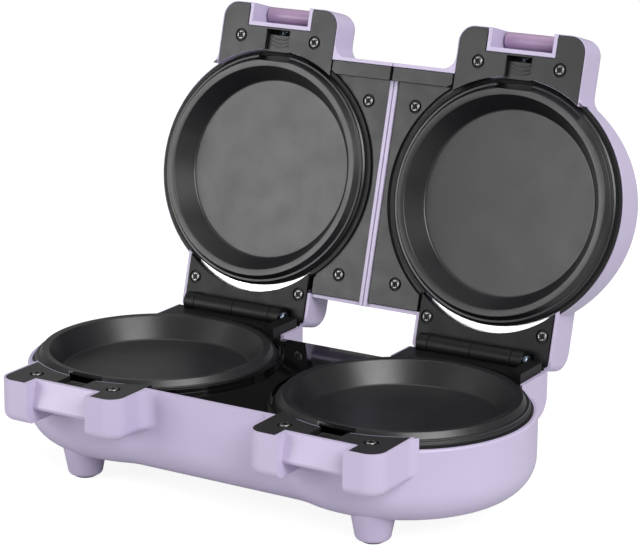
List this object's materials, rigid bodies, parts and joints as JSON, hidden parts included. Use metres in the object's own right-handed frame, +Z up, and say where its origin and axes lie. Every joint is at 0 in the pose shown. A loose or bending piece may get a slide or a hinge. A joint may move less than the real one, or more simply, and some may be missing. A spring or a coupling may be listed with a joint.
{
  "type": "breakfast sandwich maker",
  "caption": "Twin round-plate sandwich maker with independently hinged lids, folding latches, removable non-stick pans and sliding plate releases on a footed base.",
  "frame": {"origin": "on the table under the middle of the object's box, lids open", "axes": "+X along the row of plates to the right, +Y to the hinges at the back, +Z up"},
  "size_m": [0.3144, 0.2914, 0.2476],
  "materials": {
    "lilac_plastic": "satin moulded",
    "mauve_plastic": "satin moulded",
    "black_plastic": "fine textured",
    "gloss_black": "polished",
    "nonstick_coating": "dark non-stick coating on die-cast aluminium",
    "bright_aluminium": "bright pressed",
    "heater_sheath": "oxidised steel",
    "plated_steel": "zinc plated",
    "blackened_steel": "blackened screws",
    "black_rubber": "matt",
    "ceramic_white": "matt",
    "wire_sleeve": "woven glass sleeve",
    "red_lens": "clear moulded",
    "green_lens": "clear moulded"
  },
  "bodies": {
    "base": {"base_shell": "lilac_plastic", "base_rim": "lilac_plastic", "feet": "lilac_plastic", "foot_pads": "black_rubber", "base_deck": "gloss_black", "base_screws": "blackened_steel", "cord_bush": "black_rubber", "terminal_block": "ceramic_white", "base_wiring": "wire_sleeve", "left_latch_block": "lilac_plastic", "left_hinge_housing": "lilac_plastic", "left_base_latch_cover": "black_plastic", "left_hinge_base": "black_plastic", "left_hinge_pin": "plated_steel", "left_lower_reflector": "bright_aluminium", "left_lower_heater": "heater_sheath", "left_lower_thermostat": "ceramic_white", "left_lower_release_spring": "plated_steel", "right_latch_block": "lilac_plastic", "right_hinge_housing": "lilac_plastic", "right_base_latch_cover": "black_plastic", "right_hinge_base": "black_plastic", "right_hinge_pin": "plated_steel", "right_lower_reflector": "bright_aluminium", "right_lower_heater": "heater_sheath", "right_lower_thermostat": "ceramic_white", "right_lower_release_spring": "plated_steel"},
    "left_lower_plate": {"left_lower_plate": "nonstick_coating"},
    "left_lower_release": {"left_lower_release": "black_plastic"},
    "right_lower_plate": {"right_lower_plate": "nonstick_coating"},
    "right_lower_release": {"right_lower_release": "black_plastic"},
    "left_lid": {"left_lid_shell": "lilac_plastic", "left_lid_frame": "black_plastic", "left_lid_latch_cover": "black_plastic", "left_lid_hinge_bracket": "black_plastic", "left_lid_screws": "blackened_steel", "left_upper_reflector": "bright_aluminium", "left_upper_heater": "heater_sheath", "left_power_light": "red_lens", "left_ready_light": "green_lens", "left_latch_pin": "plated_steel", "left_upper_release_spring": "plated_steel"},
    "left_latch": {"left_latch": "mauve_plastic"},
    "left_upper_plate": {"left_upper_plate": "nonstick_coating"},
    "left_upper_release": {"left_upper_release": "black_plastic"},
    "right_lid": {"right_lid_shell": "lilac_plastic", "right_lid_frame": "black_plastic", "right_lid_latch_cover": "black_plastic", "right_lid_hinge_bracket": "black_plastic", "right_lid_screws": "blackened_steel", "right_upper_reflector": "bright_aluminium", "right_upper_heater": "heater_sheath", "right_power_light": "red_lens", "right_ready_light": "green_lens", "right_latch_pin": "plated_steel", "right_upper_release_spring": "plated_steel"},
    "right_latch": {"right_latch": "mauve_plastic"},
    "right_upper_plate": {"right_upper_plate": "nonstick_coating"},
    "right_upper_release": {"right_upper_release": "black_plastic"}
  },
  "joints": [
    {"name": "left_lid_hinge", "type": "hinge", "parent": "base", "child": "left_lid", "pos_m": [-0.08225, 0.03984, 0.0662], "axis": [1, 0, 0], "range_deg": [0, 105]},
    {"name": "left_latch_pivot", "type": "hinge", "parent": "left_lid", "child": "left_latch", "pos_m": [-0.08225, 0.10647, 0.2376], "axis": [1, 0, 0], "range_deg": [0, 195]},
    {"name": "left_lower_plate_lift", "type": "slide", "parent": "base", "child": "left_lower_plate", "axis": [0, 0, -1], "range_m": [-0.04, 0]},
    {"name": "left_upper_plate_lift", "type": "slide", "parent": "left_lid", "child": "left_upper_plate", "axis": [0, 0.9659, -0.2588], "range_m": [-0.02, 0]},
    {"name": "left_lower_release_press", "type": "slide", "parent": "base", "child": "left_lower_release", "axis": [0, 1, 0], "range_m": [-0.0025, 0], "stiffness_N_per_m": 300, "springref_m": 0.001, "deforming": ["left_lower_release_spring"]},
    {"name": "left_upper_release_press", "type": "slide", "parent": "left_lid", "child": "left_upper_release", "axis": [0, -0.2588, -0.9659], "range_m": [-0.0025, 0], "stiffness_N_per_m": 300, "springref_m": 0.001, "deforming": ["left_upper_release_spring"]},
    {"name": "right_lid_hinge", "type": "hinge", "parent": "base", "child": "right_lid", "pos_m": [0.08225, 0.03984, 0.0662], "axis": [1, 0, 0], "range_deg": [0, 105]},
    {"name": "right_latch_pivot", "type": "hinge", "parent": "right_lid", "child": "right_latch", "pos_m": [0.08225, 0.10647, 0.2376], "axis": [1, 0, 0], "range_deg": [0, 195]},
    {"name": "right_lower_plate_lift", "type": "slide", "parent": "base", "child": "right_lower_plate", "axis": [0, 0, -1], "range_m": [-0.04, 0]},
    {"name": "right_upper_plate_lift", "type": "slide", "parent": "right_lid", "child": "right_upper_plate", "axis": [0, 0.9659, -0.2588], "range_m": [-0.02, 0]},
    {"name": "right_lower_release_press", "type": "slide", "parent": "base", "child": "right_lower_release", "axis": [0, 1, 0], "range_m": [-0.0025, 0], "stiffness_N_per_m": 300, "springref_m": 0.001, "deforming": ["right_lower_release_spring"]},
    {"name": "right_upper_release_press", "type": "slide", "parent": "right_lid", "child": "right_upper_release", "axis": [0, -0.2588, -0.9659], "range_m": [-0.0025, 0], "stiffness_N_per_m": 300, "springref_m": 0.001, "deforming": ["right_upper_release_spring"]}
  ]
}
